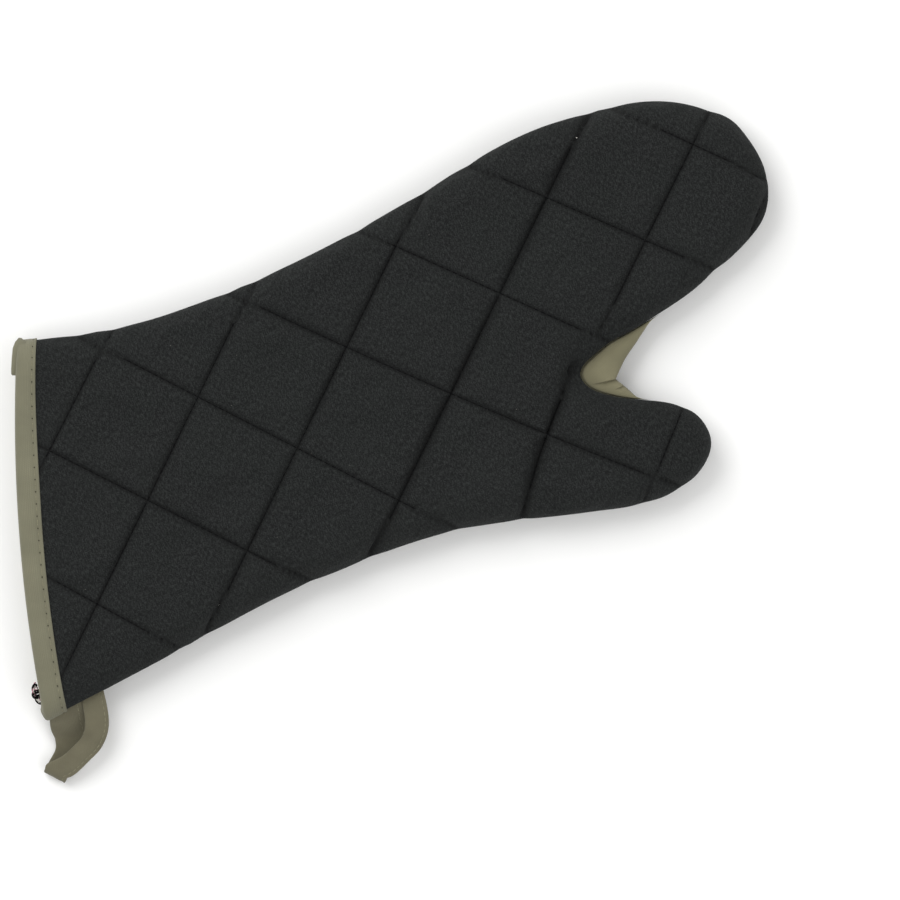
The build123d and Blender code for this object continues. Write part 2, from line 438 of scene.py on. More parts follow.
def vertex_normals(points, polygons):
    total = np.zeros_like(points)
    corners = np.array([(f[0], f[1], f[2]) for f in polygons])
    corners = np.vstack([corners, [(f[0], f[2], f[3]) for f in polygons if len(f) == 4]])
    a, b, c = (points[corners[:, i]] for i in range(3))
    face = np.cross(b - a, c - a)
    for i in range(3):
        np.add.at(total, corners[:, i], face)
    return unit(total)


def capped_tube(rows, columns):
    """Faces of a tube of rings of points, closed at both ends."""
    first, last = range(columns), range((rows - 1) * columns, rows * columns)
    return grid_faces(rows, columns, wrap_columns=True) + [tuple(first)[::-1], tuple(last)]


def swell(points, polygons, pins, pressure, slack, frames, limit):
    """Where cloth goes when it is filled between its pinned rows of stitches."""
    obj = new_object("swelling", points, polygons)
    group = obj.vertex_groups.new(name="pins")
    group.add([int(i) for i in np.nonzero(pins)[0]], 1.0, "REPLACE")
    modifier = obj.modifiers.new("cloth", "CLOTH")
    cloth = modifier.settings
    cloth.quality = 5
    cloth.mass = 0.25
    cloth.air_damping = 3
    cloth.tension_stiffness = cloth.compression_stiffness = 12
    cloth.shear_stiffness = 4
    cloth.bending_stiffness = 0.4
    cloth.shrink_min = -slack
    cloth.use_pressure = True
    cloth.uniform_pressure_force = pressure
    cloth.vertex_group_mass = "pins"
    cloth.effector_weights.gravity = 0
    modifier.collision_settings.use_collision = False
    scene = bpy.context.scene
    for number in range(1, frames + 1):
        scene.frame_set(number)
    posed = obj.evaluated_get(bpy.context.evaluated_depsgraph_get())
    moved = np.zeros(len(points) * 3)
    posed.data.vertices.foreach_get("co", moved)
    moved = moved.reshape(-1, 3) / MM - HOME
    bpy.data.objects.remove(obj)
    scene.frame_set(1)
    step = moved - points
    far = length(step)[:, None]
    return points + step * (limit * np.tanh(far / limit) / np.maximum(far, 1e-6))


# ---- quilted panels

fold_across = direction(THUMB_HEADING)
SPLIT_REACH = 9.0  # the thumb's pieces part from the hand's this far from the crotch


def in_thumb(p):
    return ((p[:, :2] - CROTCH) @ fold_across > SPLIT_REACH) & (p[:, 1] < CROTCH[1] + 1)


plan_inset = hem_inset(plan)
row_away, row_depth = row_distance(plan)
face_centres = np.array([plan[list(f)].mean(axis=0) for f in faces])
thumb_face = in_thumb(face_centres)
Sheet = namedtuple("Sheet", "base normal swollen faces")


def panel(side):
    """One panel's surface: before quilting, the ways out of it, and quilted and swollen."""
    base, normal, height = panel_point(side, plan, plan_away, plan_out)
    polygons = faces if side > 0 else [f[::-1] for f in faces]
    rest = base - normal * valley(side, plan, height)[:, None]
    pins = (row_away < 1.05) | (height < 2.5) | (plan_inset < 12.5)
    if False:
        puff = 2.6 * (1 - np.exp(-row_away / 9)) * smoothstep(height, 2, 9)
        puff = puff * smoothstep(plan_inset, 12, 30)
        swollen = rest + normal * puff[:, None]
    elif side > 0:
        noise = random.normal(0, 0.02, len(plan)) * ~pins
        rough = rest + normal * noise[:, None]
        swollen = swell(rough, polygons, pins, pressure=3.2, slack=0.03, frames=26, limit=4.2)
    else:
        swollen = swell(rest, polygons, pins, pressure=1.5, slack=0.02, frames=16, limit=2.2)
    ease = (0.2 + 0.8 * smoothstep(height, 3, 11)) * (0.45 + 0.55 * smoothstep(row_away, 0.8, 5))
    swollen = rest + (swollen - rest) * ease[:, None]
    if side < 0:
        swollen[:, 2] = np.maximum(swollen[:, 2], 0.25)
    return Sheet(base, normal, swollen, polygons)


def layer_points(sheet, depth):
    """The panel's points this deep in it. Batting is pressed thin under the quilting."""
    rise = ((sheet.swollen - sheet.base) * sheet.normal).sum(axis=1)
    if depth <= COVER:
        return sheet.swollen - sheet.normal * depth
    inner = np.minimum(-(COVER + BATTING) + 0.25 * rise, rise - COVER - 0.7)
    return sheet.base + sheet.normal * (inner - (depth - COVER - BATTING))[:, None]


def closed_layer(name, sheet, outer_depth, inner_depth, chosen):
    """A layer of a panel between two depths, as a closed mesh of the chosen faces."""
    outer, inner = layer_points(sheet, outer_depth), layer_points(sheet, inner_depth)
    polygons = [f for f, keep in zip(sheet.faces, chosen) if keep]
    normals = vertex_normals(outer, sheet.faces)
    used = np.unique([i for f in polygons for i in f])
    place = {int(v): i for i, v in enumerate(used)}
    count = len(used)
    top = [tuple(place[i] for i in f) for f in polygons]
    bottom = [tuple(i + count for i in f[::-1]) for f in top]
    sides = {(f[i], f[(i + 1) % len(f)]) for f in top for i in range(len(f))}
    walls = [(b, a, a + count, b + count) for a, b in sides if (b, a) not in sides]
    points = np.vstack([outer[used], inner[used]])
    uv = np.vstack([flat[used], flat[used]])
    normals = np.vstack([normals[used], -normals[used]])
    obj = new_object(name, points, top + bottom + sorted(walls), uv, normals)
    # Painted shade: the crease attribute darkens the cloth along each row of quilting and beside the deep
    # rows
    away, deep = row_away[used], row_depth[used]
    line = bell(away, PAINTED_CREASE_SHADE)
    flank = 0.6 * smoothstep(deep, 2.5, 4.0) * bell(away, PAINTED_FLANK_SHADE)
    crease = 0.9 * line + (1 - line) * flank
    obj.data.attributes.new("crease", "FLOAT", "POINT").data.foreach_set("value", np.tile(crease, 2))
    return obj


# ---- stitches

def surface_point(side, p, lift):
    """Where plan points lie over a quilted panel, and the way out of it."""
    away, out = edge_distance(p)
    point, normal, height = panel_point(side, p, away, out)
    return point + normal * (lift - valley(side, p, height))[:, None], normal


def rings(middle, beside, up, radius, sides):
    """The points of a round tube along a line."""
    turn = np.arange(sides)[:, None] * 2 * pi / sides
    shape = np.cos(turn) * beside[:, None] + np.sin(turn) * up[:, None]
    return (middle[:, None] + shape * np.reshape(radius, (-1, 1, 1))).reshape(-1, 3)


def stitch_mesh(paths, size, step, radius, sink=0.35, start_at=0.0):
    """Stitches along paths of (points, normals), each a thread whose ends go into the cloth."""
    points, polygons, centres = [], [], []
    ends = np.linspace(-1, 1, 6)
    for path, normals in paths:
        reach = distances(path)
        for middle in np.arange(STITCH_MARGIN + start_at, reach[-1] - size / 2, step):
            at = middle + ends * size / 2
            centre = interpolate(at, reach, path)
            up = unit(interpolate(at, reach, normals))
            beside = unit(np.cross(tangents(centre), up))
            centre = centre - up * (sink * np.abs(ends) ** 3)[:, None]
            thick = radius * np.sqrt(1 - 0.55 * ends**4)
            start = len(points)
            points += list(rings(centre, beside, up, thick, STITCH_SIDES))
            *sides, first, last = capped_tube(len(ends), STITCH_SIDES)
            faces = (*sides, first[::-1], last[::-1])
            polygons += [tuple(start + i for i in f) for f in faces]
            centres.append(centre[2])
    return np.array(points), polygons, np.array(centres)


def quilting_paths(side):
    """The rows of quilting on a panel, up to the binding, as paths for stitches."""
    paths = []
    for row in ROWS:
        line = row_line(row, 1.0)
        keep = inside(edge, line) & (hem_inset(line) > BINDING_WIDTH + 2)
        cuts = np.nonzero(np.diff(keep.astype(int)))[0] + 1
        for run, flag in zip(np.split(line, cuts), np.split(keep, cuts)):
            if flag[0] and len(run) > 8:
                paths.append(surface_point(side, run[1:-1], 0.12))
    return paths


# ---- binding

# A place on the hem: the row of the net that runs in from it and how far in each of its points is
# (none between the two rolled edges), and the distance and the way to the mitt's edge
Station = namedtuple("Station", "line at away out")


def hem_stations():
    """Places along the hem across one panel, from the thumb's side to the finger side."""
    first, last = [], []
    for r, away in enumerate(insets):
        row = plan[r * edge_count : (r + 1) * edge_count]
        for ends, line, out in ((first, row[:40], outward[0]), (last, row[::-1][:40], outward[-1])):
            ends.append(Station(line, hem_inset(line), away, out))
    on_hem = plan[band:][np.abs(plan_inset[band:]) < 1e-3]
    on_hem = on_hem[np.argsort(on_hem[:, 1])]
    across = [Station(p[None], None, ROLL, np.array([0.0, 1.0])) for p in on_hem]
    return first + across + last[::-1]


def along_row(station, inset):
    """The points this far in from the hem along a station's row, carried on out past its end."""
    p = interpolate(inset, station.at, station.line)
    return p + np.minimum(inset - station.at[0], 0)[:, None] * unit(HEM_CENTRE - p)


def binding_grid(profile, ripple=0.0):
    """The binding's points: a ring of stations by a profile of (inset, height over the cloth)."""
    profile = np.array(profile)
    rows, normals = [], []
    stations = hem_stations()
    innermost = [stations[len(insets) - 1], stations[-len(insets)]]
    ring = [(1, s) for s in stations] + [(-1, s) for s in stations[-2:0:-1]]
    for number, (side, station) in enumerate(ring):
        place = station.line[0]
        narrow = 1 - BINDING_NARROWING * smoothstep(place[1], 5, 88)
        inset = np.where(profile[:, 0] > 0, profile[:, 0] * narrow, profile[:, 0])
        if station.at is not None:
            p = along_row(station, inset)
        else:
            p = place + inset[:, None] * unit(HEM_CENTRE - place)
            for other in innermost:
                beside = place + along_row(other, inset) - along_row(other, np.zeros(1))
                share = bell(length(place - other.line[0]), 9)
                p = p * (1 - share) + beside * share
        count = len(p)
        away, out = np.full(count, station.away), np.tile(station.out, (count, 1))
        point, normal, _ = panel_point(side, p, away, out)
        wave = ripple * np.sin(number * MESH_STEP / RIPPLE_STEP * 2 * pi) * bell(inset - 8, 3)
        thin = 1 - 0.5 * max(0, 1 - station.away / ROLL)
        lift = np.where(profile[:, 1] > 0, (profile[:, 1] + wave) * thin, profile[:, 1])
        rows.append(point + normal * lift[:, None])
        normals.append(normal)
    return np.array(rows), np.array(normals)


# The binding's section as (inset, height over the cloth), out round the hem and back inside
BINDING_PROFILE = [
    (10.5, 0.05), (10.55, 0.5), (10.4, 0.88), (9.8, 0.95), (8.9, 0.7), (TOPSTITCH_INSET, 0.58),
    (7.9, 0.7), (6.9, 0.98), (4.5, 1.1), (2.5, 1.1), (0.8, 1.0), (-0.3, 0.7), (-0.95, -0.2), (-1.25, -1.8),
    (-1.3, -3.2), (-1.2, -4.6), (-0.8, -6.0), (0.0, -6.7), (1.5, -6.95), (5.0, -7.0), (8.0, -6.7),
    (10.2, -6.9), (10.5, -6.5), (10.2, -6.05), (5.0, -6.1), (1.0, -6.0), (-0.2, -5.2), (-0.5, -3.2),
    (-0.2, -0.9), (0.8, 0.0), (5.0, 0.05),
]
TOPSTITCH_PROFILE = [(TOPSTITCH_INSET, 0.66), (TOPSTITCH_INSET + 0.1, 0.66)]

# Where the binding's tape ends it is folded over and stands out past the hem: y along the hem, and
# reach. Its section is in shares of that reach and of its half thickness.
BINDING_END = [(84.5, 0.6), (82.5, 2.2), (79.5, 3.2), (75.0, 3.4), (70.0, 3.5), (67.6, 3.4), (66.9, 3.0)]
END_SECTION = [(-1.5, 1.0), (0.0, 1.0), (0.45, 0.95), (0.8, 0.8), (0.95, 0.5), (1.0, 0.0)]
END_SECTION += [(reach, -height) for reach, height in END_SECTION[-2::-1]]
END_THICKNESS = 0.75


def binding_end():
    """The folded end of the binding's tape, a flat tab beside the finger side's corner."""
    points = []
    for y, reach in BINDING_END:
        x = HEM_CENTRE[0] - sqrt(HEM_RADIUS**2 - (y - HEM_CENTRE[1]) ** 2)
        out = unit(np.array([x, y]) - HEM_CENTRE)
        away = np.array([min(HEM[0][1] + 0.5 - y, ROLL)])
        crest = panel_point(1, np.array([[x, y]]), away, outward[-1:])[0][0, 2]
        level = MIDDLE + 0.75 * (crest - MIDDLE)
        droop = 0.25 * sin(y * 1.3)
        half = END_THICKNESS * (0.5 if y in (BINDING_END[0][0], BINDING_END[-1][0]) else 1.0)
        for a, z in END_SECTION:
            points.append((*(np.array([x, y]) + out * reach * a), level + droop * max(a, 0) + z * half))
    polygons = capped_tube(len(BINDING_END), len(END_SECTION))
    return new_object("cuff_binding_end", points, polygons, np.array(points)[:, :2])


# ---- hanging loop

# The tape's route from one sewn-in end to the other: x, y, z, the way across it, and its width. The
# lower strand runs out to the turn and the upper one back.
LOOP_HEADING = 8.4  # of the edge it is sewn to
LOOP_ENDS = [(10.2, -100.4), (25.2, -98.2)]
LOWER_STRAND = [
    (8.4, -106.2, 8.2, -3.0, 18.0),
    (7.8, -113.0, 3.6, -13.0, 17.0),
    (3.8, -120.5, 1.6, -34.0, 14.6),
]
UPPER_STRAND = [
    (3.0, -125.0, 8.4, -54.0, 11.0),
    (10.0, -122.0, 10.0, -56.0, 10.8),
    (17.6, -117.6, 11.6, -42.0, 11.2),
    (22.6, -109.6, 13.2, -18.0, 12.0),
]
TURN = (-4.5, -126.6, 3.9)
TURN_HEADING = -47.0
TURN_RADIUS = 3.0
TAPE_WIDTH = 12.0
LOWER_WIDTH = 17.5  # of the lower strand, which lies opened out
TAPE_THICKNESS = 1.3
TAPE_SEAM = 1.8  # from its open edge to the stitches that close it


def loop_route():
    inward = direction(LOOP_HEADING + 90)
    first, last = (np.array(end) for end in LOOP_ENDS)
    route = [(*(first + inward * reach), MIDDLE, LOOP_HEADING, LOWER_WIDTH) for reach in (7.0, 2.5)]
    route += LOWER_STRAND
    out = direction(TURN_HEADING - 90) * TURN_RADIUS
    for angle in range(-90, 91, 30):
        c, s = cos(radians(angle)), sin(radians(angle))
        place = (TURN[0] + out[0] * c, TURN[1] + out[1] * c, TURN[2] + TURN_RADIUS * s)
        route.append((*place, TURN_HEADING, TAPE_WIDTH))
    route += UPPER_STRAND
    route += [(*(last + inward * reach), MIDDLE, LOOP_HEADING, TAPE_WIDTH) for reach in (2.5, 7.0)]
    return np.array(route)


def smooth_route(points, count):
    """A Catmull-Rom curve through points, evenly sampled, and each sample's distance along it."""
    padded = np.vstack([2 * points[0] - points[1], points, 2 * points[-1] - points[-2]])
    u = np.linspace(0, 1, 24, endpoint=False)[:, None]
    runs = []
    for a, b, c, d in zip(padded, padded[1:], padded[2:], padded[3:]):
        bend = (2 * a - 5 * b + 4 * c - d) * u**2 + (3 * b - a - 3 * c + d) * u**3
        runs.append(0.5 * (2 * b + (c - a) * u + bend))
    curve = np.vstack(runs + [points[-1:]])
    reach = distances(curve[:, :3])
    wanted = np.linspace(0, reach[-1], count)
    return interpolate(wanted, reach, curve), wanted


def tape_frame():
    """The tape's middle line, the ways across and out of it, and the distance along it."""
    curve, reach = smooth_route(loop_route(), 110)
    middle, heading = curve[:, :3], np.radians(curve[:, 3])
    across = np.stack([np.cos(heading), np.sin(heading), 0 * heading], axis=1)
    face = np.cross(tangents(middle), across)
    slant = length(face)[:, None]
    scale = curve[:, 4:] / TAPE_WIDTH
    return middle, across * scale / np.maximum(slant, 0.55), face / slant, reach


def hanging_loop():
    """A tape folded in two along its length, closed by a row of stitches beside its open edge."""
    middle, across, face, reach = tape_frame()
    w, t = TAPE_WIDTH / 2, TAPE_THICKNESS / 2
    half = [
        (-w, 0), (-w + 0.1, 0.55 * t), (-w + 0.5, 0.9 * t), (-w + 1.4, t), (-0.3 * w, 0.92 * t),
        (0.2 * w, 0.95 * t), (w - 3.0, t), (w - 2.3, 0.88 * t), (w - TAPE_SEAM, 0.6 * t),
        (w - 1.3, 0.85 * t), (w - 0.7, t), (w - 0.2, 0.9 * t), (w, 0.45 * t), (w - 0.25, 0),
    ]
    section = np.array(half + [(x, -z) for x, z in half[-2:0:-1]])
    wave = 0.16 * np.sin(reach / 3.7)
    ripple = wave[:, None] * np.sign(section[:, 0]) * (np.abs(section[:, 0]) > 3)
    points = middle[:, None] + across[:, None] * section[None, :, :1]
    points = points + face[:, None] * (section[None, :, 1] + ripple)[..., None]
    rows, columns = points.shape[:2]
    place = section[:, 0] + 30 * (section[:, 1] < 0)  # the two faces of the tape, apart in its cloth
    uv = np.stack([np.repeat(reach, columns), np.tile(place, rows)], axis=1)
    tape = new_object("hanging_loop_tape", points.reshape(-1, 3), capped_tube(rows, columns), uv)
    paths = []
    for over in (-1, 1):
        lift = over * (0.6 * t + 0.07) + wave
        paths.append((middle + across * (w - TAPE_SEAM) + face * lift[:, None], face * over))
    thread_points, thread_faces, _ = stitch_mesh(paths, size=2.4, step=2.9, radius=0.15, sink=0.2)
    threads = new_object("hanging_loop_stitches", thread_points, thread_faces)
    return tape, threads


# ---- crotch guard

GUARD_UPPER = [(349.9, -9.8), (340.0, -17.5), (331.4, -24.0), (323.7, -31.9)]
GUARD_LOWER = [(323.7, -31.9), (327.9, -38.7), (331.3, -45.1)]
GUARD_CORNER = 0.64  # where along the guard its free edge turns and the first pleat lies
PLEATS = [(GUARD_CORNER, 1.7, 0.1, 0.7), (0.76, 0.9, 0.45, 0.9)]  # place, height, and where it opens
PLEAT_POINTS = np.array([-0.014, -0.006, -0.001, 0.001, 0.008, 0.02])  # round a pleat, along the guard


def web_guard():
    """A padded fold of cloth from the crotch's seam out to its free edge, with two small pleats."""
    x, y = edge.T
    seam = edge[(length(edge - CROTCH) < 60) & (x > 300) & (y > -47.5) & (y < -8.5)]
    seam = resample(seam[::-1], 0.1)
    u = np.linspace(0, 1, 61)
    steps = u
    for at, *_ in PLEATS:
        u = np.concatenate([u, at + PLEAT_POINTS])
    u = np.unique(np.round(u, 4))
    before = u[u <= GUARD_CORNER] / GUARD_CORNER
    after = (u[u > GUARD_CORNER] - GUARD_CORNER) / (1 - GUARD_CORNER)
    free = []
    for route, share in ((GUARD_UPPER, before), (GUARD_LOWER, after)):
        run, _ = smooth_route(np.array(route), len(steps))
        free.append(interpolate(share, steps, run))
    free = np.vstack(free)
    seam = interpolate(u, np.linspace(0, 1, len(seam)), seam)
    v = np.concatenate([[-0.16, -0.08, 0.0, 0.03, 0.06, 0.1], np.linspace(0.16, 1, 11)])
    plan_points = seam[:, None] + (free - seam)[:, None] * v[None, :, None]
    swag = np.sin(np.clip(v, 0, 1) * pi)[None, :] * np.sin(u * pi)[:, None]
    drop = np.clip(v, 0, 1) + 1.6 * (1 - smoothstep(v, -0.04, 0.07))
    height = MIDDLE + 1.5 * swag - drop[None, :]
    for at, high, low_v, high_v in PLEATS:
        rise = high * np.where(u < at, np.exp(-(at - u) / 0.09), -0.35 * np.exp(-(u - at) / 0.05))
        height = height + rise[:, None] * smoothstep(v, low_v, high_v)[None, :]
    thick = 0.9 + 0.2 * np.clip(v, 0, 1)
    thick[-1] = 0.35
    thick[-2] = 0.85
    top = np.dstack([plan_points, height + thick])
    bottom = np.dstack([plan_points, height - thick])
    points = np.concatenate([top, bottom[:, ::-1]], axis=1)
    polygons = [f[::-1] for f in capped_tube(*points.shape[:2])]
    points = points.reshape(-1, 3)
    return new_object("web_guard_cloth", points, polygons, points[:, :2])


# ---- seam allowance and tail

SEAM_SECTION = [(WALL + 0.3, 1.0), (9.0, 1.1), (12.3, 1.0), (12.8, 0.0)]  # distance in, half thickness
SEAM_SECTION += [(distance, -height) for distance, height in SEAM_SECTION[2::-1]]


def seam_allowance(name, indexes):
    """The panels' turned-in edges, overlocked together, along part of the edge."""
    wave = 0.25 * np.sin(np.arange(len(indexes)) * 1.9)
    points = []
    for p, out, w in zip(edge[indexes], outward[indexes], wave):
        points += [(*(p - out * (d + w * (d > 12))), MIDDLE + z) for d, z in SEAM_SECTION]
    polygons = capped_tube(len(indexes), len(SEAM_SECTION))
    return new_object(name, points, [f[::-1] for f in polygons], np.array(points)[:, :2])


TAIL_SIDES = 8


def overlock_tail(name, phase, radius, reach, shift):
    """One thread of the tuft: a chain of small loops beside the hem."""
    t = np.linspace(0, 1, 90)
    swing = 2 * pi * (3.2 * t + phase)
    x = -0.1 - reach * (0.5 - 0.5 * np.cos(swing)) * np.sin(pi * np.clip(t * 1.05, 0, 1)) ** 0.4
    y = -82.5 - 9.2 * t + 1.3 * np.sin(swing) + shift
    z = MIDDLE - 1.5 + 1.6 * np.sin(swing * 1.5 + phase) - 1.2 * t
    middle = np.stack([x, y, z], axis=1)
    along = tangents(middle)
    beside = unit(np.cross(along, [0.0, 0.0, 1.0]) + 1e-6)
    points = rings(middle, beside, np.cross(beside, along), radius, TAIL_SIDES)
    return new_object(name, points, capped_tube(len(middle), TAIL_SIDES))


# ---- materials

def fill_sockets(node, values):
    """Put values or links into a node's inputs, found by their names or places."""
    for key, value in values.items():
        if isinstance(value, bpy.types.NodeSocket):
            node.id_data.links.new(value, node.inputs[key])
        else:
            node.inputs[key].default_value = value


def material(name, roughness, gloss=0.25):
    made = bpy.data.materials.new(name)
    made.use_nodes = True
    shader = made.node_tree.nodes["Principled BSDF"]
    fill_sockets(shader, {"Roughness": roughness, "Specular IOR Level": gloss})
    return made, made.node_tree, shader


def add_node(tree, kind, *values, settings=None, **sockets):
    """A shader node with these values or links in its first sockets, and others by their names."""
    made = tree.nodes.new("ShaderNode" + kind)
    for key, value in (settings or {}).items():
        setattr(made, key, value)
    fill_sockets(made, dict(enumerate(values)) | sockets)
    return made


def maths(tree, operation, a, b=0.0):
    return add_node(tree, "Math", a, b, settings={"operation": operation}).outputs[0]


def times(tree, a, b):
    return maths(tree, "MULTIPLY", a, b)


def plus(tree, a, b):
    return maths(tree, "ADD", a, b)


def ridges(tree, value):
    return maths(tree, "ABSOLUTE", maths(tree, "SINE", value))


def ramp(tree, factor, stops):
    made = add_node(tree, "ValToRGB", factor)
    elements = made.color_ramp.elements
    elements[0].position, elements[0].color = stops[0][0], (*stops[0][1], 1)
    elements[1].position, elements[1].color = stops[-1][0], (*stops[-1][1], 1)
    for at, colour in stops[1:-1]:
        elements.new(at).color = (*colour, 1)
    return made.outputs["Color"]


def cloth_place(tree, scale, stretch=(1, 1, 1), turn=0.0):
    uv = add_node(tree, "UVMap", settings={"uv_map": "cloth"}).outputs[0]
    size = tuple(scale * s for s in stretch)
    mapping = add_node(tree, "Mapping", Vector=uv, Scale=size, Rotation=(0, 0, turn))
    return mapping.outputs[0]


def noise(tree, scale, detail, stretch=(1, 1, 1)):
    place = cloth_place(tree, scale, stretch)
    return add_node(tree, "TexNoise", Vector=place, Scale=1.0, Detail=detail, Roughness=0.55).outputs[0]


def weave_height(tree, thread, diagonal):
    """The height of a twill of threads this far apart, in metres, and the share of its diagonal ribs."""
    split = add_node(tree, "SeparateXYZ", Vector=cloth_place(tree, pi / thread))
    warp, weft = split.outputs[0], split.outputs[1]
    plain = times(tree, ridges(tree, warp), ridges(tree, weft))
    ribs = ridges(tree, times(tree, plus(tree, warp, weft), 0.5))
    return plus(tree, times(tree, plain, 1 - diagonal), times(tree, ribs, diagonal))


def dress(tree, shader, colour, height, distance, strength):
    """Give a material its colour and its bumps."""
    bump = add_node(tree, "Bump", Height=height, Distance=distance, Strength=strength)
    fill_sockets(shader, {"Base Color": colour, "Normal": bump.outputs[0]})


def mix(tree, factor, a, b):
    made = add_node(tree, "Mix", settings={"data_type": "RGBA"})
    values = [(*v, 1) if isinstance(v, tuple) else v for v in (factor, a, b)]
    places = [i for i, socket in enumerate(made.inputs) if socket.enabled]
    fill_sockets(made, dict(zip(places, values)))
    return next(socket for socket in made.outputs if socket.enabled)


def cover_cloth():
    """A faded charcoal twill with lighter threads, specks of lint, and painted shade in its creases."""
    made, tree, shader = material("charcoal_twill", 0.93)
    sheen = {"Sheen Weight": 0.04, "Sheen Roughness": 0.4, "Sheen Tint": (0.55, 0.6, 0.6, 1)}
    fill_sockets(shader, sheen)
    weave = weave_height(tree, 0.0008, 0.35)
    slub = noise(tree, 1500, 2, (1.3, 0.3, 1))
    cross = noise(tree, 1500, 2, (0.4, 1.2, 1))
    fade = noise(tree, 22, 5)
    threads = plus(tree, times(tree, slub, 0.6), times(tree, cross, 0.4))
    colour = ramp(tree, fade, [(0.36, (0.0046, 0.0054, 0.0053)), (0.64, (0.0088, 0.01, 0.0097))])
    colour = mix(tree, times(tree, weave, 0.5), (0.005, 0.0056, 0.0055), colour)
    lighter = ramp(tree, threads, [(0.44, (0, 0, 0)), (0.66, (1, 1, 1))])
    colour = mix(tree, times(tree, lighter, 0.8), colour, (0.0295, 0.0326, 0.0313))
    place = cloth_place(tree, 130, (1, 1.6, 1), turn=0.5)
    specks = add_node(tree, "TexVoronoi", Vector=place, Scale=1.0)
    lint = maths(tree, "LESS_THAN", specks.outputs["Distance"], 0.04)
    chance = add_node(tree, "SeparateColor", specks.outputs["Color"]).outputs[0]
    rare = maths(tree, "MAXIMUM", maths(tree, "SUBTRACT", chance, 0.72))
    colour = mix(tree, times(tree, times(tree, lint, rare), 1.6), colour, (0.2, 0.19, 0.17))
    # Painted shade: the crease attribute darkens the colour along the rows of quilting
    crease = add_node(tree, "Attribute", settings={"attribute_name": "crease"}).outputs["Fac"]
    colour = mix(tree, times(tree, crease, 0.95), colour, (0.0012, 0.0013, 0.0013))
    height = plus(tree, weave, times(tree, threads, 0.8))
    height = plus(tree, height, times(tree, noise(tree, 130, 4), 2.0))
    dress(tree, shader, colour, height, 0.00022, 0.8)
    return made


def khaki_cloth(name, colour, thread, wear, rib=(1, 1, 1)):
    """A twill blotched with wear. A tape's ribs run along it."""
    made, tree, shader = material(name, 0.88)
    fill_sockets(shader, {"Sheen Weight": 0.15})
    weave = weave_height(tree, thread, 0.3)
    blotch = noise(tree, 60, 4)
    dark, worn, light = (tuple(c * share for c in colour) for share in (0.72, 1 - wear, 1.22))
    shade = ramp(tree, blotch, [(0.32, worn), (0.68, light)])
    shade = mix(tree, maths(tree, "SUBTRACT", 1.0, weave), shade, dark)
    streak = noise(tree, 1100, 2, rib)
    shade = mix(tree, times(tree, streak, 0.3), shade, dark)
    height = plus(tree, weave, times(tree, noise(tree, 220, 3), 1.5))
    dress(tree, shader, shade, height, 0.00025, 0.7)
    return made


def plain_cloth(name, colour, scale, roughness, depth=0.0003, gloss=0.25):
    """Thread, batting and lining: a mottled colour with a soft fibrous surface."""
    made, tree, shader = material(name, roughness, gloss)
    place = add_node(tree, "TexCoord").outputs["Object"]
    grain = add_node(tree, "TexNoise", Vector=place, Scale=scale, Detail=4.0).outputs[0]
    dark, light = (tuple(c * share for c in colour) for share in (0.6, 1.3))
    dress(tree, shader, ramp(tree, grain, [(0.35, dark), (0.65, light)]), grain, depth, 0.6)
    return made


COVER_CLOTH = cover_cloth()
BINDING_TAPE = khaki_cloth("khaki_binding", (0.2, 0.193, 0.13), 0.00045, 0.14, (0.35, 1.3, 1))
GUARD_CLOTH = khaki_cloth("khaki_guard", (0.215, 0.2, 0.122), 0.0005, 0.15)
LOOP_TAPE = khaki_cloth("khaki_loop", (0.168, 0.155, 0.1), 0.0005, 0.32, (0.35, 1.3, 1))
LINING_CLOTH = khaki_cloth("natural_lining", (0.4, 0.38, 0.33), 0.0007, 0.08)
BATTING_FELT = plain_cloth("batting_felt", (0.72, 0.7, 0.64), 600, 0.95)
BLACK_THREAD = plain_cloth("black_thread", (0.004, 0.004, 0.0045), 2500, 0.9, 0.0001, gloss=0.05)
KHAKI_THREAD = plain_cloth("khaki_thread", (0.24, 0.225, 0.15), 2500, 0.75, 0.0001)
# Painted shade: a dark colour for the dots that stand for the needle holes' shade
PAINTED_HOLE_SHADE = plain_cloth("painted_hole_shade", (0.03, 0.026, 0.016), 2500, 0.9, 0.0001)
OVERLOCK = plain_cloth("overlocked_edge", (0.02, 0.02, 0.021), 1800, 0.85)
PINK_THREAD = plain_cloth("pink_thread", (0.45, 0.2, 0.26), 2500, 0.75, 0.0001)
WHITE_THREAD = plain_cloth("white_thread", (0.6, 0.58, 0.52), 2500, 0.75, 0.0001)


# ---- fitting the pieces to the frame


def finish_piece(obj, surface, slot, stretch, *nodes):
    """Give a piece its material, hang it on the hand if rigid or else bake its place, and hide its CAD
    nodes. The slot is not used.
    """
    obj.data.materials.append(surface)
    if stretch == "rigid":
        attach(obj, "hand")
    else:
        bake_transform(obj)
    if nodes:
        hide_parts(*nodes)


PANEL_LAYERS = [
    ("cover", 0.0, COVER, COVER_CLOTH, "cover_cloth"),
    ("batting", COVER, COVER + BATTING, BATTING_FELT, "batting"),
    ("lining", COVER + BATTING, WALL, LINING_CLOTH, "lining_cloth"),
]
# The two parts of a panel and their CAD regions
REGIONS = {"hand": ("hand", "knuckle", "fingers"), "thumb": ("thumb", "crease")}


def nodes_of(part, layer):
    return [f"{layer}_{region}" for region in REGIONS[part]]


def build_layers(side, word):
    sheet = panel(side)
    for layer, outer, inner, surface, slot in PANEL_LAYERS:
        for part, chosen in (("hand", ~thumb_face), ("thumb", thumb_face)):
            name = f"{word}_{layer}_{'mitten' if part == 'hand' else 'thumb'}_cloth"
            obj = closed_layer(name, sheet, outer, inner, chosen)
            finish_piece(obj, surface, slot, part, *nodes_of(part, f"{word}_{layer}"))


